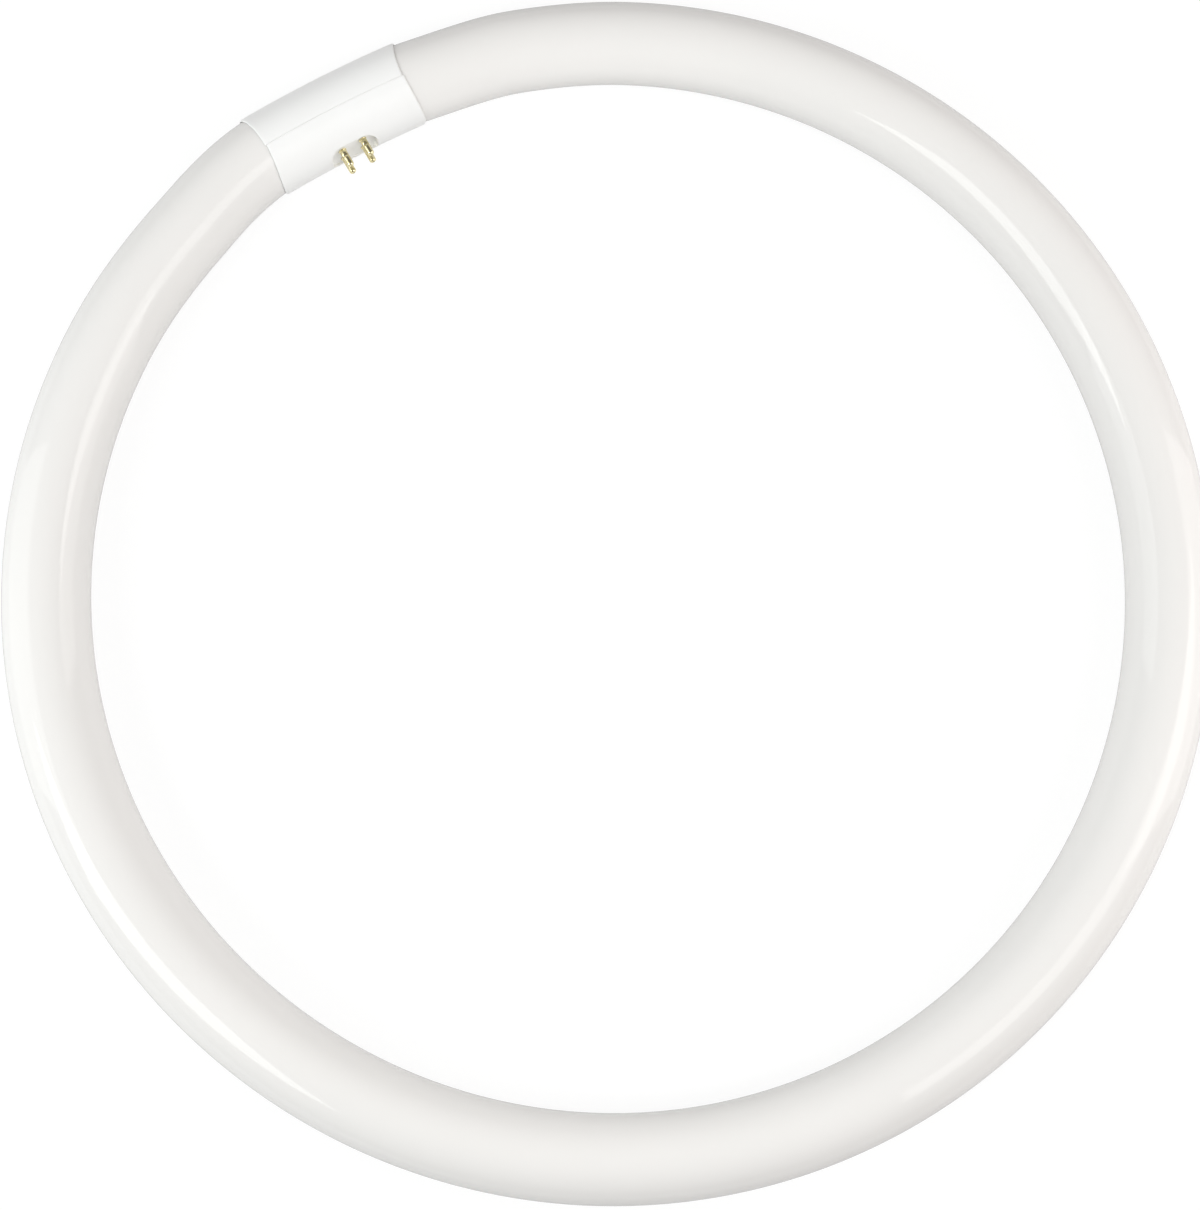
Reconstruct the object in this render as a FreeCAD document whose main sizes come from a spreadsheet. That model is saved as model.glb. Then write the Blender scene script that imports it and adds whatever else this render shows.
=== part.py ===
import FreeCAD, Part
import os
import re

import Sketcher
from FreeCAD import Placement, Rotation, Vector

# A 16 inch circular fluorescent lamp, lying flat. The ring's centre is over the origin, +Z is up, and the
# moulded base is at +Y with its four contact pins pointing in towards the centre. Millimetres and degrees.

# Driving dimensions: every value is a plain number
DIMENSIONS = {
    # Glass ring
    "ring_diameter": 406,  # across the outside of the ring
    "tube_diameter": 28.6,  # nine eighths of an inch
    "neck_clearance": 1.1,  # left round the narrowed, straight ends of the glass inside the base
    "rim_bevel": 2.5,  # of each sealed end
    "end_clearance": 1.2,  # from a sealed end to the moulding in the middle of the base
    "stem_depth": 9,  # funnel of the glass stem, from the rim to its floor
    "stem_wall_gap": 1.2,  # from a lead wire to the side of the funnel's floor
    "stem_flare": 1.9,  # how much wider the funnel's mouth is than its floor, in radius
    "exhaust_diameter": 3.6,
    "exhaust_reach": 4,  # of the sealed exhaust tip past the rim
    # Base, two half shells
    "base_length": 56,  # along the glass, crown to crown
    "base_shift": 0.2,  # its straight axis lies this far outside the ring's line at each end
    "base_bow": 63,  # radius that each end is bowed to, seen from outside the ring
    "glass_clearance": 0.2,
    "shell_wall": 0.5,  # over the glass
    "band_wall": 1.5,  # in the middle, between the two glass ends
    "seam_offset": 2.5,  # of the parting line from the axis, towards the pins
    "seam_gap": 0.04,
    "seam_bevel": 0.2,
    # Recess for the pins
    "recess_length": 17.2,
    "recess_width": 12.2,
    "recess_round": 4.5,
    "recess_depth": 2.9,  # at the crown
    "recess_wall": 1.2,
    "floor_wall": 1.8,
    # Contact pins
    "pin_spacing_long": 7.92,  # along the base
    "pin_spacing_wide": 6.35,  # across the base
    "pin_diameter": 2.4,
    "pin_reach": 6.45,  # from the recess's floor to the tip
    "pin_bore": 1.3,
    "shank_diameter": 2.2,  # of the part that is held in the floor
    "shank_clearance": 0.02,
    "bead_diameter": 2.9,  # of the staked bead at the root, on the floor
    "bead_height": 0.6,
    "tip_hole": 0.7,
    "tip_wall": 0.9,
    "tip_bevel": 0.5,
    "flange_diameter": 3.4,
    "flange_thickness": 0.4,
    "crimp_radius": 0.9,
    "crimp_depth": 0.3,
    "crimp_place": 2.5,  # from the recess's floor
    # Lead wires
    "wire_diameter": 0.5,
    "wire_clearance": 0.05,  # to the floor of the stem
    "wire_inset": 0.3,  # its cut end, inside the pin's tip
}

# Dimensions that follow from the driving ones: the angles are made plain numbers of degrees
DERIVED = {
    "tube_radius": "tube_diameter / 2",
    "ring_radius": "ring_diameter / 2 - tube_radius",
    "base_radius": "tube_radius + glass_clearance + shell_wall",
    "bore_radius": "tube_radius + glass_clearance",
    "band_radius": "base_radius - band_wall",
    # The base is a straight collar, and the ring's line bulges out of its axis in between its ends
    "base_angle": "asin(base_length / 2 / ring_radius) / 1 deg",
    "base_middle": "ring_radius * cos(base_angle) + base_shift",
    "collar_length": "base_length + 4 * base_radius * tan(base_angle)",
    # The moulding between the glass ends holds the recess, so the gap follows the recess
    "band_half": "recess_length / 2 + recess_wall",
    "end_half_gap": "band_half + end_clearance",
    # The glass keeps its full size until the ring's line has used up three quarters of the clearance
    "line_shift": "base_shift + 0.75 * glass_clearance",
    "neck_start": "sqrt((base_length / 2) ^ 2 - 2 * ring_radius * line_shift)",
    "neck_angle": "asin(neck_start / ring_radius) / 1 deg",
    "neck_radius": "bore_radius - neck_clearance",
    "wire_radius": "wire_diameter / 2",
    "stem_radius": "pin_spacing_wide / 2 + wire_radius + stem_wall_gap",
    "recess_floor": "base_radius - recess_depth",
    "seam_height": "sqrt(base_radius ^ 2 - seam_offset ^ 2)",
    "pin_radius": "pin_diameter / 2",
}

ALIASES = re.compile(r"\b(" + "|".join([*DIMENSIONS, *DERIVED]) + r")\b")

doc = FreeCAD.newDocument("ring_lamp")
sizes = doc.addObject("Spreadsheet::Sheet", "Sizes")
for row, (alias, content) in enumerate([*DIMENSIONS.items(), *DERIVED.items()], start=1):
    sizes.set(f"A{row}", alias)
    sizes.set(f"B{row}", f"={content}" if alias in DERIVED else str(content))
    sizes.setAlias(f"B{row}", alias)
doc.recompute()

# Formulas and sketches


def value(formula):
    """The number that a formula of the sheet's aliases has now."""
    result = sizes.evalExpression(formula)
    return float(getattr(result, "Value", result))


def bind(target, prop, formula):
    """Ties a property to a formula of the sheet's aliases."""
    target.setExpression(prop, ALIASES.sub(r"Sizes.\1", formula))


def new_body(label, shift=("0", "0", "0"), turn=None):
    """A sub-part's body, moved by three formulas and turned about an axis by an angle."""
    body = doc.addObject("PartDesign::Body", label)
    body.Label = label
    if turn:
        body.Placement = Placement(Vector(), Rotation(*turn))
    for axis, formula in zip("xyz", shift):
        bind(body, f"Placement.Base.{axis}", formula)
    return body


def origin_plane(body, role):
    return next(feature for feature in body.Origin.OriginFeatures if feature.Role == role)


def new_sketch(body, name, plane, shift=("0", "0", "0"), turn=None):
    """A sketch on one of the body's origin planes, moved by three formulas and turned by a fourth."""
    sketch = body.newObject("Sketcher::SketchObject", name)
    sketch.AttachmentSupport = [(origin_plane(body, plane), "")]
    sketch.MapMode = "FlatFace"
    if turn:
        axis, formula = turn
        sketch.AttachmentOffset = Placement(Vector(), Rotation(axis, value(formula)))
        bind(sketch, "AttachmentOffset.Rotation.Angle", formula)
    for axis, formula in zip("xyz", shift):
        bind(sketch, f"AttachmentOffset.Base.{axis}", formula)
    return sketch


def constrain(sketch, formula, kind, *where):
    """A sketch constraint whose size is a formula."""
    number = sketch.addConstraint(Sketcher.Constraint(kind, *where, value(formula)))
    bind(sketch, f"Constraints[{number}]", formula)


def place_point(sketch, geometry, point, x, y):
    """Fixes one point of a sketch at two formulas, measured from the sketch's origin."""
    constrain(sketch, x, "DistanceX", -1, 1, geometry, point)
    constrain(sketch, y, "DistanceY", -1, 1, geometry, point)


def add_circle(sketch, x, y, radius):
    centre = Vector(value(x), value(y), 0)
    circle = sketch.addGeometry(Part.Circle(centre, Vector(0, 0, 1), value(radius)))
    place_point(sketch, circle, 3, x, y)
    constrain(sketch, radius, "Radius", circle)


def add_outline(sketch, corners):
    """A closed outline of straight sides, with each corner at two formulas."""
    points = [Vector(value(x), value(y), 0) for x, y in corners]
    sides = []
    for start, end in zip(points, points[1:] + points[:1]):
        sides.append(sketch.addGeometry(Part.LineSegment(start, end)))
    for side, following in zip(sides, sides[1:] + sides[:1]):
        sketch.addConstraint(Sketcher.Constraint("Coincident", side, 2, following, 1))
    for side, (x, y) in zip(sides, corners):
        place_point(sketch, side, 1, x, y)


def add_rounded_rectangle(sketch, length, width, radius):
    """A rectangle centred on the sketch's origin, with its four corners rounded."""
    x, y, r = value(length) / 2, value(width) / 2, value(radius)
    flats = [
        ((x - r, y), (-x + r, y)),
        ((-x, y - r), (-x, -y + r)),
        ((-x + r, -y), (x - r, -y)),
        ((x, -y + r), (x, y - r)),
    ]
    centres = [(-x + r, y - r), (-x + r, -y + r), (x - r, -y + r), (x - r, y - r)]
    sides = []
    for start, end in flats:
        sides.append(sketch.addGeometry(Part.LineSegment(Vector(*start, 0), Vector(*end, 0))))
    rounds = []
    for quarter, centre in enumerate(centres, start=1):
        circle = Part.Circle(Vector(*centre, 0), Vector(0, 0, 1), r)
        start = FreeCAD.Units.parseQuantity(f"{90 * quarter} deg").getValueAs("rad").Value
        end = FreeCAD.Units.parseQuantity(f"{90 * (quarter + 1)} deg").getValueAs("rad").Value
        rounds.append(sketch.addGeometry(Part.ArcOfCircle(circle, start, end)))
    for number, (side, arc) in enumerate(zip(sides, rounds)):
        sketch.addConstraint(Sketcher.Constraint("Tangent", side, 2, arc, 1))
        sketch.addConstraint(Sketcher.Constraint("Tangent", arc, 2, sides[(number + 1) % 4], 1))
        sketch.addConstraint(Sketcher.Constraint("Vertical" if number % 2 else "Horizontal", side))
        constrain(sketch, radius, "Radius", arc)
    constrain(sketch, f"{width} / 2", "DistanceY", -1, 1, sides[0], 1)
    constrain(sketch, f"-{length} / 2", "DistanceX", -1, 1, sides[1], 1)
    constrain(sketch, f"-{width} / 2", "DistanceY", -1, 1, sides[2], 1)
    constrain(sketch, f"{length} / 2", "DistanceX", -1, 1, sides[3], 1)


# Features


def revolve(body, name, sketch, axis, angle="360"):
    """Turns a sketch about one of its axes, half the angle to each side of it."""
    feature = body.newObject("PartDesign::Revolution", name)
    feature.Profile = sketch
    feature.ReferenceAxis = (sketch, [axis])
    feature.Midplane = True
    bind(feature, "Angle", angle)
    doc.recompute()


def extrude(body, name, sketch, length, cut=False, both=False, reverse=False):
    """Pads or pockets a sketch along its normal, or half the length to each side of it."""
    feature = body.newObject("PartDesign::Pocket" if cut else "PartDesign::Pad", name)
    feature.Profile = sketch
    feature.SideType = "Symmetric" if both else "One side"
    feature.Reversed = reverse
    bind(feature, "Length", length)
    doc.recompute()


# Glass ring: a bent tube whose two ends are drawn in to a straight neck and closed by a stem


def make_glass_tube():
    body = new_body("glass_tube", ("0", "0", "base_radius"))
    section = new_sketch(body, "tube_section", "YZ_Plane")
    add_circle(section, "-ring_radius", "0", "tube_radius")
    revolve(body, "tube", section, "V_Axis", "360 - 2 * neck_angle")
    for name, side in (("right", 1), ("left", -1)):
        rim, floor = f"{side} * end_half_gap", f"{side} * (end_half_gap + stem_depth)"
        root = f"{side} * (neck_start + neck_clearance)"
        outline = [
            (root, "0"),
            (root, "neck_radius"),
            (f"{rim} + {side} * rim_bevel", "neck_radius"),
            (rim, "neck_radius - rim_bevel"),
            (rim, "stem_radius + stem_flare"),
            (floor, "stem_radius"),
        ]
        if name == "right":
            tip = f"{side} * (end_half_gap - exhaust_reach)"
            outline += [
                (floor, "exhaust_diameter / 2"),
                (f"{tip} + {side} * exhaust_diameter / 2", "exhaust_diameter / 2"),
                (tip, "exhaust_diameter / 4"),
                (tip, "0"),
            ]
        else:
            outline.append((floor, "0"))
        neck_section = new_sketch(body, f"neck_{name}_section", "XY_Plane", ("0", "base_middle", "0"))
        add_outline(neck_section, outline)
        revolve(body, f"neck_{name}", neck_section, "H_Axis")
    return body


# Base: two moulded half shells that meet on a seam along both sides of the tube


def make_base_shell(label, side):
    """The half shell on one side of the seam: side is 1 away from the ring's centre, -1 at the pins."""
    body = new_body(label, ("0", "base_middle", "base_radius"))
    collar_section = new_sketch(body, "collar_section", "YZ_Plane")
    add_circle(collar_section, "0", "0", "base_radius")
    add_circle(collar_section, "0", "0", "bore_radius")
    extrude(body, "collar", collar_section, "collar_length", both=True)
    band_section = new_sketch(body, "band_section", "YZ_Plane")
    add_circle(band_section, "0", "0", "(bore_radius + base_radius) / 2")
    add_circle(band_section, "0", "0", "band_radius")
    extrude(body, "band", band_section, "2 * band_half", both=True)
    seam = f"{side} * seam_gap / 2 - seam_offset"
    bevel_end = f"{seam} + {side} * (seam_bevel + 1)"
    beyond = f"-{side} * 2 * base_radius"
    half = new_sketch(body, "other_half", "YZ_Plane")
    add_outline(
        half,
        [
            (beyond, "-2 * base_radius"),
            (bevel_end, "-2 * base_radius"),
            (bevel_end, "-(seam_height + 1)"),
            (seam, "-(seam_height - seam_bevel)"),
            (seam, "seam_height - seam_bevel"),
            (bevel_end, "seam_height + 1"),
            (bevel_end, "2 * base_radius"),
            (beyond, "2 * base_radius"),
        ],
    )
    extrude(body, "seam", half, "2 * collar_length", cut=True, both=True)
    for name, end in (("right", 1), ("left", -1)):
        end_place = (f"{end} * base_length / 2", "0", "base_shift")
        turn = (Vector(0, 1, 0), f"{-end} * base_angle")
        trim = new_sketch(body, f"end_{name}_outline", "XZ_Plane", end_place, turn)
        # All that lies outside the bow's circle is cut away, within a square well clear of the collar
        inner, outer, wide = f"{-end} * 2.4 * base_bow", f"{end} * 0.4 * base_bow", "1.2 * base_bow"
        add_outline(trim, [(inner, f"-{wide}"), (outer, f"-{wide}"), (outer, wide), (inner, wide)])
        add_circle(trim, f"{-end} * base_bow", "0", "base_bow")
        extrude(body, f"end_{name}", trim, "4 * base_radius", cut=True, both=True)
    return body


def make_pin_recess(body):
    """Adds the walled recess in the middle of the pin shell, and the holes that the pins sit in."""
    floor_inside = "recess_floor - floor_wall"
    block_outline = new_sketch(body, "recess_block_outline", "XZ_Plane", ("0", "0", floor_inside))
    add_rounded_rectangle(
        block_outline,
        "(recess_length + 2 * recess_wall)",
        "(recess_width + 2 * recess_wall)",
        "recess_round + recess_wall",
    )
    extrude(body, "recess_block", block_outline, "floor_wall + recess_wall / 3")
    recess_outline = new_sketch(body, "recess_outline", "XZ_Plane", ("0", "0", "recess_floor"))
    add_rounded_rectangle(recess_outline, "recess_length", "recess_width", "recess_round")
    extrude(body, "recess", recess_outline, "2 * recess_depth", cut=True, reverse=True)
    holes = new_sketch(body, "pin_hole_circles", "XZ_Plane", ("0", "0", "recess_floor"))
    for along in (1, -1):
        for across in (1, -1):
            add_circle(
                holes,
                f"{along} * pin_spacing_long / 2",
                f"{across} * pin_spacing_wide / 2",
                "shank_diameter / 2 + shank_clearance",
            )
    extrude(body, "pin_holes", holes, "2 * floor_wall", cut=True)


# Contact pins: hollow brass pins, staked in the recess's floor between a flange behind it and a bead on it,
# and crimped on their lead wires


def make_pin(number, along, across):
    place = (
        f"{along} * pin_spacing_long / 2",
        "base_middle - recess_floor",
        f"base_radius + {across} * pin_spacing_wide / 2",
    )
    body = new_body(f"pin_{number}", place, (Vector(1, 0, 0), 90))
    flange_foot = "-floor_wall - flange_thickness"
    section = new_sketch(body, "pin_section", "XZ_Plane")
    add_outline(
        section,
        [
            ("pin_bore / 2", flange_foot),
            ("flange_diameter / 2", flange_foot),
            ("flange_diameter / 2", "-floor_wall"),
            ("shank_diameter / 2", "-floor_wall"),
            ("shank_diameter / 2", "0"),
            ("bead_diameter / 2", "0"),
            ("shank_diameter / 2", "bead_height"),
            ("pin_radius", "bead_height"),
            ("pin_radius", "pin_reach - tip_bevel"),
            ("pin_radius - tip_bevel", "pin_reach"),
            ("tip_hole / 2", "pin_reach"),
            ("tip_hole / 2", "pin_reach - tip_wall"),
            ("pin_bore / 2", "pin_reach - tip_wall - (pin_bore - tip_hole) / 2"),
        ],
    )
    revolve(body, "barrel", section, "V_Axis")
    crimps = new_sketch(body, "crimp_circles", "YZ_Plane")
    for face in (1, -1):
        crimp = f"{face} * (pin_radius + crimp_radius - crimp_depth)"
        add_circle(crimps, crimp, "crimp_place", "crimp_radius")
    extrude(body, "crimps", crimps, "2 * pin_diameter", cut=True, both=True)
    return body


# Lead wires: from the floor of each stem, bent once, into the bore of a pin


def make_lead_wire(number, along, across):
    place = ("0", "base_middle", f"base_radius + {across} * pin_spacing_wide / 2")
    body = new_body(f"lead_wire_{number}", place, (Vector(0, 1, 0), 90 - 90 * along))
    start = "end_half_gap + stem_depth - wire_clearance"
    pin = "pin_spacing_long / 2"
    end = "recess_floor + pin_reach - wire_inset"
    path = new_sketch(body, "path", "XY_Plane")
    corner = Vector(value(pin), 0, 0)
    run = path.addGeometry(Part.LineSegment(Vector(value(start), 0, 0), corner))
    drop = path.addGeometry(Part.LineSegment(corner, Vector(value(pin), -value(end), 0)))
    path.addConstraint(Sketcher.Constraint("Coincident", run, 2, drop, 1))
    place_point(path, run, 1, start, "0")
    place_point(path, drop, 1, pin, "0")
    place_point(path, drop, 2, pin, f"-({end})")
    section = new_sketch(body, "wire_section", "YZ_Plane", ("0", "0", start))
    add_circle(section, "0", "0", "wire_radius")
    wire = body.newObject("PartDesign::AdditivePipe", "wire")
    wire.Profile = section
    wire.Spine = path
    wire.Transition = "Right corner"
    doc.recompute()
    return body


parts = [make_glass_tube(), make_base_shell("base_outer_shell", 1)]
pin_shell = make_base_shell("base_pin_shell", -1)
make_pin_recess(pin_shell)
parts.append(pin_shell)
number = 0
for along in (1, -1):
    for across in (1, -1):
        number += 1
        parts.append(make_pin(number, along, across))
        parts.append(make_lead_wire(number, along, across))
doc.recompute()

# Every object has to be sound before anything is written
for item in doc.Objects:
    if {"Invalid", "Error"} & set(item.State):
        raise RuntimeError(f"{item.Label} failed: {item.State} {item.getStatusString()}")
os.makedirs("parts", exist_ok=True)
for part in parts:
    if part.Shape.isNull() or not part.Shape.isValid() or len(part.Shape.Solids) != 1:
        raise RuntimeError(f"{part.Label} is not one sound solid")
for part in parts:
    part.Shape.exportStep(f"parts/{part.Label}.step")
    print(part.Label, round(part.Shape.Volume, 1), "cubic mm")
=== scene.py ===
# A 16 inch ring lamp, lying flat: a bent glass tube whose two ends meet in a moulded base with four contact
# pins. Metres, +Z up: the ring's centre is over the origin, the base is at +Y and its pins point to the centre.
import math

import bpy
import numpy as np
from mathutils import Matrix, Quaternion, Vector


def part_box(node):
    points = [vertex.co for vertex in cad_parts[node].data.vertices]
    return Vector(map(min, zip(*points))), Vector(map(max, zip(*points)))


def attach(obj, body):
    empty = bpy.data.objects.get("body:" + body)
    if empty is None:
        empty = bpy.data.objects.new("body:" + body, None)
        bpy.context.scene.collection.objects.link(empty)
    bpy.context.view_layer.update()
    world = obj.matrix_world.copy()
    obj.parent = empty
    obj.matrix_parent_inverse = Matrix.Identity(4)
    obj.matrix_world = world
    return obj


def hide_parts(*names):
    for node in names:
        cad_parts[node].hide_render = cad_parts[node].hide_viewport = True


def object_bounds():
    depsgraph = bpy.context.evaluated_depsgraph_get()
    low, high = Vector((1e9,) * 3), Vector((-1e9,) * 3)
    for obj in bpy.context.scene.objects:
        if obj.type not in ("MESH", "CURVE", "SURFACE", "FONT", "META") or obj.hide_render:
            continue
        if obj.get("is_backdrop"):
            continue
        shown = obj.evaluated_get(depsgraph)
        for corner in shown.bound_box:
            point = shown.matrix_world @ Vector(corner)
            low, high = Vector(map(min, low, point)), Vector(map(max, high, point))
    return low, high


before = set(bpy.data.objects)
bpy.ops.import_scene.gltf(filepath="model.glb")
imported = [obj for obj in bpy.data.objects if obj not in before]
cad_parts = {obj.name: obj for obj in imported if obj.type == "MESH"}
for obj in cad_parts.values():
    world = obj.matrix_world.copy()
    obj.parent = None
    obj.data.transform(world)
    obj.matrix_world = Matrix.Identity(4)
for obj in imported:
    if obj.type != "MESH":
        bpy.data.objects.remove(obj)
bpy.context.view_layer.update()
mm = 0.001

# Camera. The photograph looks down on the lamp from above its middle, with the base turned to the upper left.
# Its place is measured from the ring's centre, with the picture's right as +X and the picture's top as +Y.
image_height = 1210  # pixels, the long side
focal_length = 1611.6  # pixels
camera_place = Vector((-21.8, -66.8, 537.5)) * mm
camera_tilt = Vector((math.radians(6.21), math.radians(-1.79), 0))  # from straight down, about the same axes
nearest_seen = 10 * mm
base_turn = math.radians(30.89)

glass_low, glass_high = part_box("glass_tube")
tube_height = (glass_low.z + glass_high.z) / 2
picture_to_lamp = Matrix.Translation((0, 0, tube_height)) @ Matrix.Rotation(-base_turn, 4, "Z")
camera = bpy.data.objects.new("camera", bpy.data.cameras.new("camera"))
camera_turn = Quaternion(camera_tilt.normalized(), camera_tilt.length).to_matrix().to_4x4()
camera.matrix_world = picture_to_lamp @ Matrix.Translation(camera_place) @ camera_turn
camera.data.lens = focal_length / image_height * camera.data.sensor_width
camera.data.clip_start = nearest_seen
bpy.context.scene.collection.objects.link(camera)
bpy.context.scene.camera = camera
bpy.context.scene.view_settings.view_transform = "Standard"

# Floor. A plain pale table: what looks at it, straight or in a reflection, sees it white under the lamps, and
# the lamp's own shadow stays on it. The light that it throws back on the lamp is that of a pale grey card.
floor_size = 30.0
card_grey = 0.60
seen_glow = 0.86  # what the floor gives off by itself where it is seen, in the shadow too
seen_paint = 0.17  # white paint on top of that, which the lamps light and the shadow darkens


def set_inputs(node, inputs):
    """Give a shader node's inputs their values, or a link where the value is another node's output."""
    for name, value in inputs.items():
        if isinstance(value, bpy.types.NodeSocket):
            node.id_data.links.new(value, node.inputs[name])
        else:
            node.inputs[name].default_value = value


def add_node(tree, kind, inputs):
    """A new node in a material's tree, with some of its inputs set or linked."""
    node = tree.nodes.new(kind)
    set_inputs(node, inputs)
    return node


def node_material(name):
    """A new node material, with its tree and its Principled shader."""
    material = bpy.data.materials.new(name)
    material.use_nodes = True
    return material, material.node_tree, material.node_tree.nodes["Principled BSDF"]


floor_mesh = bpy.data.meshes.new("floor")
half, level = floor_size / 2, glass_low.z
corners = [(-half, -half, level), (half, -half, level), (half, half, level), (-half, half, level)]
floor_mesh.from_pydata(corners, [], [(0, 1, 2, 3)])
floor = bpy.data.objects.new("floor", floor_mesh)
bpy.context.scene.collection.objects.link(floor)

floor_material, tree, card = node_material("floor_card")
card_colour = (card_grey, card_grey, card_grey, 1)
set_inputs(card, {"Base Color": card_colour, "Roughness": 1.0, "Specular IOR Level": 0.0})
glow = add_node(tree, "ShaderNodeEmission", {"Strength": seen_glow})
paint = add_node(tree, "ShaderNodeBsdfDiffuse", {"Color": (seen_paint, seen_paint, seen_paint, 1)})
white = add_node(tree, "ShaderNodeAddShader", {0: glow.outputs[0], 1: paint.outputs[0]})
rays = tree.nodes.new("ShaderNodeLightPath").outputs
seen = rays["Is Camera Ray"]
for indirect in ("Is Glossy Ray", "Is Transmission Ray"):
    either = add_node(tree, "ShaderNodeMath", {0: seen, 1: rays[indirect]})
    either.operation = "MAXIMUM"
    seen = either.outputs[0]
surface = add_node(tree, "ShaderNodeMixShader", {"Fac": seen, 1: card.outputs[0], 2: white.outputs[0]})
set_inputs(tree.nodes["Material Output"], {"Surface": surface.outputs[0]})
floor_mesh.materials.append(floor_material)
floor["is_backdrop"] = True

# Studio light. A dim room, two soft boxes in front, whose mirror images are the long streaks on the glass, and a
# soft lamp low on each side of the picture. The two fills, over the ring's middle and at its back, light the
# ring's inner side and are left out of the reflections.
room_level, room_colour = 0.18, (1.0, 0.98, 0.985, 1)
warm, cool = (1.0, 0.975, 0.945), (0.97, 1.0, 0.985)
lamps = {
    # name: place in the picture's own axes, size, power in watts, roll in degrees, colour
    "left_front_box": ((-0.74, -0.47, 0.76), (0.80, 0.46), 5.2, 45, cool),
    "right_front_box": ((0.74, -0.27, 0.87), (0.92, 0.50), 3.7, -35, warm),
    "left_side_lamp": ((-0.75, 0.0, 0.28), (0.5, 0.9), 2.6, 0, cool),
    "right_side_lamp": ((0.75, 0.0, 0.28), (0.5, 0.9), 3.0, 0, warm),
    "middle_fill": ((0.0, 0.0, 0.40), (0.12, 0.12), 0.42, 0, cool),
    "back_fill": ((0.0, 0.9, 0.30), (0.9, 0.5), 1.3, 0, warm),
}

world = bpy.data.worlds.new("room")
bpy.context.scene.world = world
world.use_nodes = True
set_inputs(world.node_tree.nodes["Background"], {"Strength": room_level, "Color": room_colour})

for name, (place, size, power, roll, colour) in lamps.items():
    lamp = bpy.data.objects.new(name, bpy.data.lights.new(name, "AREA"))
    lamp.data.shape = "RECTANGLE"
    lamp.data.size, lamp.data.size_y = size
    lamp.data.energy = power
    lamp.data.color = colour
    lamp.visible_camera = False
    lamp.visible_glossy = not name.endswith("fill")
    aim = (-Vector(place)).to_track_quat("-Z", "Y").to_matrix().to_4x4()
    rolled = Matrix.Rotation(math.radians(roll), 4, "Z")
    lamp.matrix_world = picture_to_lamp @ Matrix.Translation(place) @ aim @ rolled
    bpy.context.scene.collection.objects.link(lamp)

# Glass ring. One clear glass tube, bent hot to a circle and coated white inside, so it is bulkiest opposite the
# base and was drawn a little thinner towards its two ends. A stem seals each end inside the base.
tube_radius = (glass_high.z - glass_low.z) / 2
ring_radius = glass_high.x - tube_radius
ring_wobble = 0.28 * mm  # the ring is that much out of round, in three lobes
thinning = 0.72 * mm  # of the radius at the base, which fades away along the ring
thinning_fade_left, thinning_fade_right = math.radians(40), math.radians(62)
drawn_in = 0.30 * mm  # of the ring's ends, towards its centre
drawn_from, drawn_to = math.radians(22), math.radians(32)  # from the base, where that begins to fade and ends
base_half_length = 28.0 * mm
base_bend_radius = 450 * mm
base_skew = 0.0367  # slope of the base across the ring's line
skew_end = math.radians(20)  # from the base, where the tube has lost that slope
shoulder_place, shoulder_length = 26.5 * mm, 2.0 * mm  # where the tube narrows to a neck, from the base's middle
neck_radius = 13.35 * mm
rim_place = 11.0 * mm  # of the sealed ends, from the base's middle
rim_round = 2.5 * mm
stem_mouth, stem_floor, stem_depth = 6.5 * mm, 4.6 * mm, 9.0 * mm
exhaust_radius, exhaust_reach = 1.8 * mm, 4.0 * mm
pole_radius = 0.02 * mm  # of the first ring of points round each pole
around_tube, around_ring, along_neck, over_rim = 96, 720, 5, 7  # counts of points
sharp_angle = math.radians(40)

base_angle = math.asin(base_half_length / ring_radius)


def full_turn(count):
    """Angles of a whole turn, evenly apart, without the last, which is the first again."""
    return np.linspace(0, 2 * math.pi, count, endpoint=False)


def quarter_turn(count):
    """Angles of a quarter turn, evenly apart, with both ends."""
    return np.linspace(0, math.pi / 2, count)


def smooth_step(low, high, at):
    """0 below low and 1 above high: in between, three squares less two cubes of the share of the way."""
    share = np.clip((at - low) / (high - low), 0, 1)
    return share * share * (3 - 2 * share)


def line_offset(turn):
    """How far the tube's centre line lies outside the true circle, at a turn left of the base: a sine by which
    the base and the ends are skewed, less what the ends are drawn in, less a cosine of three lobes."""
    far = np.abs(turn)
    skewed = base_skew * ring_radius * np.sin(turn) * (1 - smooth_step(base_angle, skew_end, far))
    ends = drawn_in * (1 - smooth_step(drawn_from, drawn_to, far))
    return skewed - ends - ring_wobble * np.cos(3 * turn)


def base_axis(along):
    """How far from the lamp's middle the base's axis runs, at a place along it: a parabola between the tube's
    ends, as high as an arc of the bend's radius, less the skew's slope."""
    ends = (ring_radius + line_offset(np.array([base_angle, -base_angle])).mean()) * math.cos(base_angle)
    return ends + (base_half_length**2 - along**2) / (2 * base_bend_radius) - base_skew * along


def tube_end(side, tip):
    """Place along the base and radius of one sealed end, from its centre out to the shoulder: the stem's floor
    or the exhaust tip, the funnel of the stem, the flat rim, its quarter round and the straight neck."""
    quarter = quarter_turn(over_rim)
    depth = [stem_depth, 0.0, *(rim_round * (1 - np.cos(quarter)))]
    radius = [stem_floor, stem_mouth, *(neck_radius - rim_round * (1 - np.sin(quarter)))]
    if tip:
        nose = quarter[:0:-1]
        depth = [*(exhaust_radius * (1 - np.sin(nose)) - exhaust_reach), stem_depth, *depth]
        radius = [pole_radius, *(exhaust_radius * np.cos(nose[1:])), exhaust_radius, *radius]
    else:
        depth, radius = [stem_depth, *depth], [pole_radius, *radius]
    neck = np.linspace(rim_place + rim_round, shoulder_place - shoulder_length, along_neck + 1)[1:]
    place = np.concatenate([rim_place + np.array(depth), neck])
    return side * place, np.concatenate([radius, np.full(along_neck, neck_radius)])


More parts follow.
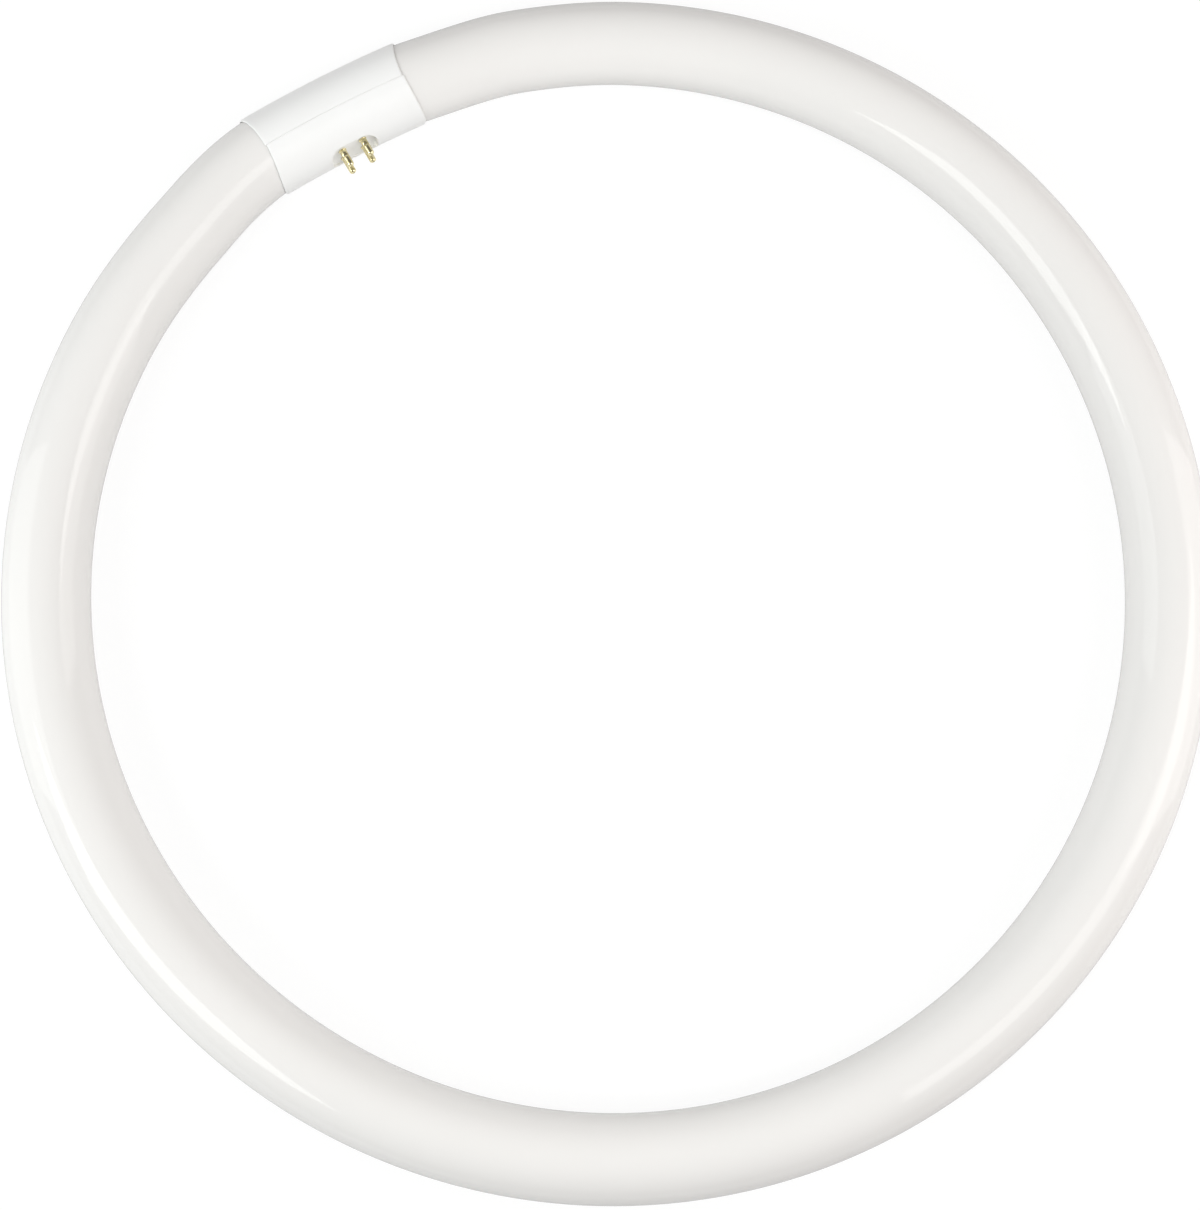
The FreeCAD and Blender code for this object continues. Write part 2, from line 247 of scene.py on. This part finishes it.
def grid_faces(rows, columns, wrap_rows=False, wrap_columns=True):
    """Faces between neighbours in a grid of points. Wrapping joins the last row or column to the first."""
    row = np.arange(rows if wrap_rows else rows - 1)[:, None]
    column = np.arange(columns if wrap_columns else columns - 1)[None, :]
    below, beside = (row + 1) % rows * columns, (column + 1) % columns
    corners = [row * columns + column, below + column, below + beside, row * columns + beside]
    return np.stack(corners, axis=-1).reshape(-1, 4)


def closed_faces(rows, columns):
    """Faces of a grid whose rows are rings, with a fan of triangles from the first ring and from the last to
    their poles, which are the two points after the grid's."""
    first = np.arange(columns)
    last = (first + (rows - 1) * columns)[::-1]
    poles = rows * columns, rows * columns + 1
    fans = [
        np.stack([ring, np.roll(ring, -1), np.full_like(ring, pole)], axis=-1)
        for ring, pole in zip((first, last), poles)
    ]
    return [grid_faces(rows, columns), *fans]


def new_piece(name, points, faces, material, slot, *stands_for):
    """A piece of the lamp from points in metres and lists of faces, in place of CAD nodes."""
    mesh = bpy.data.meshes.new(name)
    mesh.from_pydata(points.reshape(-1, 3).tolist(), [], [face for group in faces for face in group.tolist()])
    mesh.validate()
    mesh.shade_smooth()
    mesh.set_sharp_from_angle(angle=sharp_angle)
    mesh.materials.append(material)
    piece = bpy.data.objects.new(name, mesh)
    bpy.context.scene.collection.objects.link(piece)
    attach(piece, "root")
    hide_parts(*stands_for)
    return piece


left_place, left_radius = tube_end(-1, tip=False)
right_place, right_radius = tube_end(1, tip=True)
first_turn = math.asin(shoulder_place / ring_radius)
turns = np.linspace(first_turn, 2 * math.pi - first_turn, around_ring)
from_base = np.where(turns < math.pi, turns, turns - 2 * math.pi)
fade = np.where(from_base > 0, thinning_fade_left, thinning_fade_right)
ring_radii = tube_radius - thinning * np.exp(-((from_base / fade) ** 2))
line_radius = ring_radius + line_offset(from_base)

end_places = [left_place, right_place[::-1]]
end_lines = [np.stack([place, base_axis(place)], axis=-1) for place in end_places]
end_turns = [-place / shoulder_place * first_turn for place in end_places]
ring_line = line_radius[:, None] * np.stack([-np.sin(turns), np.cos(turns)], axis=-1)
centre_line = np.concatenate([end_lines[0], ring_line, end_lines[1]])
station_turn = np.concatenate([end_turns[0], from_base, end_turns[1]])
radius = np.concatenate([left_radius, ring_radii, right_radius[::-1]])[:, None]

# Each station's ring of points lies in the plane across the tube: outwards from the lamp's centre, and up
angle = full_turn(around_tube)
outwards = np.stack([-np.sin(station_turn), np.cos(station_turn)], axis=-1)
flat = centre_line[:, None, :] + (radius * np.cos(angle))[..., None] * outwards[:, None, :]
up = tube_height + radius * np.sin(angle)
stations = np.concatenate([flat, up[..., None]], axis=-1)
poles = np.stack([np.append(centre_line[0], tube_height), np.append(centre_line[-1], tube_height)])

glass_white = (0.858, 0.840, 0.830, 1)
glass_grey = (0.830, 0.815, 0.805, 1)
painted_rim_shade = (0.56, 0.55, 0.545, 1)  # painted shade: the darker grey the coating turns to where the tube is seen edge on, a dark outline along its silhouettes
painted_rim_shade_start = 0.70  # how far a surface is turned away where that begins


def noise(tree, scale, detail=2.0):
    """A cloudy pattern fixed to the piece, from 0 to 1. Its scale is the number of clouds to a metre."""
    place = tree.nodes.new("ShaderNodeTexCoord").outputs["Object"]
    clouds = add_node(tree, "ShaderNodeTexNoise", {"Vector": place, "Scale": scale, "Detail": detail})
    return clouds.outputs["Fac"]


def mixed_colour(tree, share, first, second):
    """A colour that goes from the first to the second as the share goes from 0 to 1."""
    mix = tree.nodes.new("ShaderNodeMix")
    mix.data_type = "RGBA"
    set_inputs(mix, {"Factor": share, "A": first, "B": second})
    return mix.outputs["Result"]


def relief(tree, height, strength, depth):
    """The normal of a surface that stands out by a depth in metres where the height is 1."""
    bump = add_node(tree, "ShaderNodeBump", {"Height": height, "Strength": strength, "Distance": depth})
    return bump.outputs["Normal"]


glass, tree, shader = node_material("coated_glass")
coating = mixed_colour(tree, noise(tree, scale=22, detail=5), glass_grey, glass_white)
# Painted shade: the coating's colour greys where the surface turns edge on, which draws a dark outline along the
# tube's silhouettes in place of shading
edge_on = add_node(tree, "ShaderNodeLayerWeight", {"Blend": 0.5}).outputs["Facing"]
rim = add_node(tree, "ShaderNodeMapRange", {"Value": edge_on, "From Min": painted_rim_shade_start})
rim.interpolation_type = "SMOOTHSTEP"
set_inputs(shader, {
    "Base Color": mixed_colour(tree, rim.outputs["Result"], coating, painted_rim_shade),
    "Roughness": 0.8,
    "Specular IOR Level": 0.0,
    "Coat Weight": 0.6,
    "Coat IOR": 1.5,
    "Coat Roughness": 0.035,
    "Normal": relief(tree, noise(tree, scale=60), strength=0.05, depth=0.3 * mm),
})

glass_points = np.concatenate([stations.reshape(-1, 3), poles])
glass_faces = closed_faces(*up.shape)
new_piece("glass_ring", glass_points, glass_faces, glass, "coated_glass", "glass_tube")

# Base, outer shell. The half of the moulded white collar that is away from the ring's centre. Both halves are
# snapped and bonded together over the tube's ends, and meet on a seam along each side of the tube.
base_radius = 14.3 * mm
base_wall = 0.5 * mm
band_wall, band_half = 1.2 * mm, 9.8 * mm  # in the middle, between the sealed ends of the tube
base_bow = 42 * mm  # radius of each end's edge, seen from outside the ring
left_lean, right_lean = math.radians(1.0), math.radians(3.0)  # of the ends, from square to the base's axis
corner_reach = 0.6 * mm  # of the ends' outer and inner corners, beyond the half length
lip_length, lip_rise = 0.8 * mm, 0.35 * mm  # rounding of the ends' edges
seam_offset = 2.5 * mm  # from the axis, towards the pins
seam_gap = 0.02 * mm  # of each half, from the seam's middle
seam_round = 0.12 * mm
shell_slip = 0.25 * mm  # each half has slipped that far: the pin shell to the right and the outer one to the left
lines_around, lines_along, lines_over_edge = 96, 60, 6

seam_angle = math.acos(seam_offset / base_radius)
seam_gap_angle = seam_gap / base_radius


def collar_point(along, angle, radius):
    """A point of the base: a place along its axis, and from there a radius out, square to the axis, at an angle
    round it from the side that faces the ring's centre."""
    slope = along / base_bend_radius + base_skew
    length = np.sqrt(1 + slope**2)
    reach = -radius * np.cos(angle)
    x, y = along + reach * slope / length, base_axis(along) + reach / length
    return np.stack([x, y, tube_height + radius * np.sin(angle)], axis=-1)


def collar_end(side, angle, slip):
    """Where one end of the base lies along its axis, at an angle round it: the half length, leaning by its slope
    and bowed away by a parabola of the bow's radius."""
    bow = (base_radius * np.sin(angle)) ** 2 / (2 * base_bow) - corner_reach
    lean = np.where(np.asarray(side) > 0, math.tan(right_lean), math.tan(left_lean))
    return slip + side * (base_half_length - lean * base_radius * np.cos(angle) - bow)


def lines_between(low, high, inset, count):
    """Grid lines from low to high: even in the middle, and closer and closer over an inset at each end, by one
    less the cosine of a quarter turn."""
    quarter = quarter_turn(lines_over_edge).reshape(-1, *[1] * np.ndim(low))
    middle = np.linspace(0, 1, count)[1:-1].reshape(-1, *[1] * np.ndim(low))
    near = inset * (1 - np.cos(quarter))
    inner_low, inner_high = low + inset, high - inset
    return np.concatenate([low + near, inner_low + (inner_high - inner_low) * middle, (high - near)[::-1]])


def rounding(distance, length, rise):
    """How much a rounded edge falls away, at a distance from it: a quarter ellipse of that length and rise."""
    share = np.clip(1 - distance / length, 0, 1)
    return rise * (1 - np.sqrt(1 - share**2))


def slab_faces(rows, columns):
    """Faces of a slab: a grid outside, a like grid inside turned over, and a strip round the edge."""
    top = grid_faces(rows, columns, wrap_columns=False)
    number = np.arange(rows * columns).reshape(rows, columns)
    rim = np.concatenate([number[:, 0], number[-1, 1:], number[-2::-1, -1], number[0, -2:0:-1]])
    ahead, under = np.roll(rim, -1), rows * columns
    strip = np.stack([ahead, rim, rim + under, ahead + under], axis=-1)
    return [top, top[:, ::-1] + under, strip]


first_angle = seam_angle + seam_gap_angle
angle = lines_between(first_angle, 2 * math.pi - first_angle, seam_round / base_radius, lines_around)
low, high = collar_end(-1, angle, -shell_slip), collar_end(1, angle, -shell_slip)
along = lines_between(low, high, lip_length, lines_along)
to_end = np.minimum(along - low, high - along)
to_seam = base_radius * np.minimum(angle - angle[0], angle[-1] - angle)
fall = rounding(to_end, lip_length, lip_rise) + rounding(to_seam, seam_round, seam_round)
outside = collar_point(along, angle, base_radius - fall)
wall = np.where(np.abs(along) < band_half, band_wall, base_wall)
inside = collar_point(along, angle, base_radius - wall)

plastic_white = (0.935, 0.934, 0.940, 1)
plastic_cream = (0.915, 0.912, 0.908, 1)
plastic, tree, shader = node_material("base_plastic")
set_inputs(shader, {
    "Base Color": mixed_colour(tree, noise(tree, scale=70, detail=4), plastic_cream, plastic_white),
    "Roughness": 0.32,
    "IOR": 1.5,
    "Specular Tint": (0.6, 0.6, 0.6, 1),
    "Subsurface Weight": 0.1,
    "Subsurface Radius": (1, 1, 1),
    "Subsurface Scale": 0.4 * mm,
    "Normal": relief(tree, noise(tree, scale=2600), strength=0.12, depth=0.02 * mm),
})

shell_points = np.concatenate([outside.reshape(-1, 3), inside.reshape(-1, 3)])
shell_faces = slab_faces(*along.shape)
new_piece("outer_shell", shell_points, shell_faces, plastic, "base_plastic", "base_outer_shell")

# Base, pin shell. The other half of the collar, moulded with a walled recess for the pins in its middle. Its
# surface is built as rings round the recess, from the recess's floor out to the shell's edges and back inside.
pin_low, pin_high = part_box("pin_1")
flange_thickness = 0.4 * mm
floor_wall = 1.8 * mm
recess_floor = pin_high.y - flange_thickness - floor_wall  # distance of its plane from the ring's centre
recess_half_length, recess_half_width, recess_corner = 8.6 * mm, 6.1 * mm, 4.5 * mm
recess_wall = 1.2 * mm
floor_round, rim_edge = 0.25 * mm, 0.3 * mm
lip_start = 0.96  # of the way to an end, where the rounding of the seam's edge turns into that of the end's lip
around_recess = 240  # a multiple of 8, so that a ray goes to each corner of the shell

# Where the rings lie, in shares of the way: over the floor from its middle, over the collar from the recess's
# rim, along the bore back to the block behind the recess, and over the block to its middle
floor_shares = (0.05, 0.35, 0.65, 0.85, 0.97)
collar_shares = (0.02, 0.05, 0.1, 0.17, 0.25, 0.34, 0.44, 0.54, 0.64, 0.74, 0.84, 0.93, 0.98)
bore_shares = (0, 0.1, 0.3, 0.5, 0.7, 0.9, 1)
block_shares = (0, 0.5, 0.95)

turn = full_turn(around_recess)


def rounded_outline(turn, half_length, half_width, corner):
    """Where a ray at each turn from the centre leaves a rectangle with rounded corners: on a straight side, or
    on the circle of a corner. The turns are stretched with the rectangle, so that 45 degrees is its corner."""
    least = 1e-9  # keeps a ray that runs along a side from being divided by nothing
    across, beside = half_length * np.cos(turn), half_width * np.sin(turn)
    length = np.hypot(across, beside)
    across, beside = across / length, beside / length
    to_end, to_side = half_length / np.maximum(abs(across), least), half_width / np.maximum(abs(beside), least)
    reach = np.minimum(to_end, to_side)
    corner_x, corner_z = half_length - corner, half_width - corner
    middle = abs(across) * corner_x + abs(beside) * corner_z
    on_circle = middle + np.sqrt(np.maximum(middle**2 - corner_x**2 - corner_z**2 + corner**2, 0))
    is_corner = (reach * abs(across) > corner_x) & (reach * abs(beside) > corner_z)
    reach = np.where(is_corner, on_circle, reach)
    return reach * across, reach * beside


def recess_ring(grow, y):
    """A ring parallel to the recess's outline, that much outside it, at a distance from the ring's centre."""
    sizes = (recess_half_length + grow, recess_half_width + grow, recess_corner + grow)
    x, z = rounded_outline(turn, *sizes)
    return np.stack([x, np.broadcast_to(y, x.shape), tube_height + z], axis=-1)


def collar_height(ring):
    """Distance from the ring's centre of the collar's surface, straight out from each point of a ring: that of
    the base's axis, less the root of the radius squared less the height squared."""
    x, z = ring[:, 0], ring[:, 2] - tube_height
    return base_axis(x) - np.sqrt(base_radius**2 - z**2)


def part_way(first, last, share):
    """A place that share of the straight way from the first to the last."""
    return first + (last - first) * share


# From the floor's middle up the recess's wall to its rounded rim
quarter = quarter_turn(lines_over_edge)
floor_middle = np.array([0, recess_floor, tube_height])
floor_edge = recess_ring(-floor_round, recess_floor)
rings = [part_way(floor_middle, floor_edge, share) for share in floor_shares]
for step in quarter:
    rise = floor_round * (1 - math.cos(step))
    rings.append(recess_ring(-floor_round * (1 - math.sin(step)), recess_floor - rise))
rim = recess_ring(rim_edge, recess_floor)
rim_height = collar_height(rim)
for step in quarter:
    fall = rim_edge * (1 - math.sin(step))
    rings.append(recess_ring(rim_edge * (1 - math.cos(step)), rim_height + fall))

# From the rim over the collar to the shell's edges, which are a rectangle in the plane of length and angle
square = np.stack([np.cos(turn), np.sin(turn)]) / np.maximum(abs(np.cos(turn)), abs(np.sin(turn)))
edge_angle = seam_angle - seam_gap_angle
edge_rise = part_way(seam_round, lip_rise, smooth_step(lip_start, 1.0, abs(square[0])))


def shell_edge(inset_end, inset_seam):
    """Length and angle of the shell's edge, drawn in by two insets: at its ends and at its seams."""
    angle = square[1] * (edge_angle - inset_seam / base_radius)
    side = np.where(square[0] > 0, 1, -1)
    end = collar_end(side, angle, shell_slip) - side * inset_end
    return abs(square[0]) * end, angle


rim_angle = np.arcsin((rim[:, 2] - tube_height) / base_radius)
edge_along, edge_around = shell_edge(lip_length, seam_round)
for share in collar_shares:
    along, around = part_way(rim[:, 0], edge_along, share), part_way(rim_angle, edge_around, share)
    rings.append(collar_point(along, around, base_radius))
for step in quarter:
    along, around = shell_edge(lip_length * (1 - math.sin(step)), seam_round * (1 - math.sin(step)))
    rings.append(collar_point(along, around, base_radius - edge_rise * (1 - math.cos(step))))

# Back inside along the bore, and over the block that carries the recess
bore_radius = base_radius - base_wall
bore_along, bore_around = shell_edge(0, 0)
block = recess_ring(recess_wall, recess_floor + floor_wall)
block_angle = np.arcsin((block[:, 2] - tube_height) / bore_radius)
for share in bore_shares:
    along, around = part_way(bore_along, block[:, 0], share), part_way(bore_around, block_angle, share)
    rings.append(collar_point(along, around, bore_radius))
block_middle = np.array([0, recess_floor + floor_wall, tube_height])
rings += [part_way(block, block_middle, share) for share in block_shares]

shell_points = np.concatenate([*rings, floor_middle[None], block_middle[None]])
shell_faces = closed_faces(len(rings), around_recess)
new_piece("pin_shell", shell_points, shell_faces, plastic, "base_plastic", "base_pin_shell")

# Contact pins. Four hollow pins of drawn brass, staked in the recess's floor with a flange behind and a bead in
# front. Each is crimped from above and below on its lead wire, which ends in the hole of the rounded tip.
pin_radius, shank_radius, flange_radius, bead_radius = 1.2 * mm, 1.1 * mm, 1.7 * mm, 1.45 * mm
pin_reach = recess_floor - pin_low.y
bead_height, tip_round = 0.5 * mm, 0.8 * mm
shoulder_rise = 0.12 * mm  # of the shank, over which it widens to the pin above the bead
straight_start, straight_end = 0.7 * mm, 0.85 * mm  # of the pin's straight wall, from the floor and from the tip
pin_bore, bore_end = 0.65 * mm, 1.2 * mm  # its radius, and how far below the tip it narrows to the hole
tip_hole, tip_wall, hole_round = 0.35 * mm, 0.9 * mm, 0.08 * mm
crimp_place, crimp_depth, crimp_length = 2.5 * mm, 0.22 * mm, 0.45 * mm
around_pin, along_pin, over_bead, over_tip = 64, 40, 12, 8
pin_numbers = range(1, 5)

quarter, half_turn = quarter_turn(over_tip), np.linspace(-math.pi / 2, math.pi / 2, over_bead)
bead_middle, bead_round = bead_height / 2, bead_radius - shank_radius
shoulder = pin_radius - shank_radius
foot, tip_edge = -floor_wall - flange_thickness, tip_hole + hole_round
profile = [
    # radius and reach from the recess's floor, outside from the foot to the tip and back inside
    np.stack([[pin_bore, flange_radius, flange_radius, shank_radius], [foot, foot, -floor_wall, -floor_wall]]),
    np.stack([shank_radius + bead_round * np.cos(half_turn), bead_middle * (1 + np.sin(half_turn))]),
    np.stack([pin_radius - shoulder * (1 - np.sin(quarter)), bead_height + shoulder_rise * (1 - np.cos(quarter))]),
    np.stack([np.full(along_pin, pin_radius), np.linspace(straight_start, pin_reach - straight_end, along_pin)]),
    np.stack([part_way(tip_edge, pin_radius, np.cos(quarter)), pin_reach - tip_round * (1 - np.sin(quarter))]),
    np.stack([[tip_hole, tip_hole, pin_bore], pin_reach - np.array([hole_round, tip_wall, bore_end])]),
]
profile_radius, reach = np.concatenate(profile, axis=1)[..., None]
angle = full_turn(around_pin)
dent = crimp_depth * np.exp(-(((reach - crimp_place) / crimp_length) ** 2)) * np.cos(angle) ** 4
pin_radii = np.where(profile_radius > shank_radius, profile_radius - dent, profile_radius)

brass_bright = (0.88, 0.80, 0.50, 1)
brass_dull = (0.55, 0.47, 0.24, 1)
mark_scale = (9000, 300, 9000)  # of the drawing's marks, fine across the pin and long along it
brass, tree, shader = node_material("pin_brass")
tarnish = noise(tree, scale=700, detail=4)
dulled = add_node(tree, "ShaderNodeMapRange", {"Value": tarnish, "From Min": 0.46, "From Max": 0.85})
gloss = add_node(tree, "ShaderNodeMapRange", {"Value": tarnish, "To Min": 0.12, "To Max": 0.34})
place = tree.nodes.new("ShaderNodeTexCoord").outputs["Object"]
drawn_out = add_node(tree, "ShaderNodeMapping", {"Vector": place, "Scale": mark_scale})
draw_marks = add_node(tree, "ShaderNodeTexNoise", {"Vector": drawn_out.outputs["Vector"], "Scale": 1.0})
set_inputs(shader, {
    "Base Color": mixed_colour(tree, dulled.outputs["Result"], brass_bright, brass_dull),
    "Metallic": 1.0,
    "Roughness": gloss.outputs["Result"],
    "Normal": relief(tree, draw_marks.outputs["Fac"], strength=0.15, depth=0.02 * mm),
})

for number in pin_numbers:
    low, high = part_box(f"pin_{number}")
    middle_x, middle_z = (low.x + high.x) / 2, (low.z + high.z) / 2
    x = middle_x + pin_radii * np.sin(angle)
    z = middle_z + pin_radii * np.cos(angle)
    pin_points = np.stack([x, np.broadcast_to(recess_floor - reach, x.shape), z], axis=-1)
    pin_faces = [grid_faces(*x.shape, wrap_rows=True)]
    new_piece(f"contact_pin_{number}", pin_points, pin_faces, brass, "pin_brass", f"pin_{number}")

# Lead wires. Bare nickel-iron wires from the tube's stems into the pins, out of sight inside the base: the
# constructed wires are shown as they are.
wire_colour = (0.46, 0.44, 0.41, 1)
wire, tree, shader = node_material("wire_metal")
scaling = noise(tree, scale=900)
gloss = add_node(tree, "ShaderNodeMapRange", {"Value": scaling, "To Min": 0.3, "To Max": 0.55})
set_inputs(shader, {"Base Color": wire_colour, "Metallic": 1.0, "Roughness": gloss.outputs["Result"]})
for number in pin_numbers:
    lead_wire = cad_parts[f"lead_wire_{number}"]
    for material_slot in lead_wire.material_slots:
        material_slot.material = wire

low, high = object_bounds()
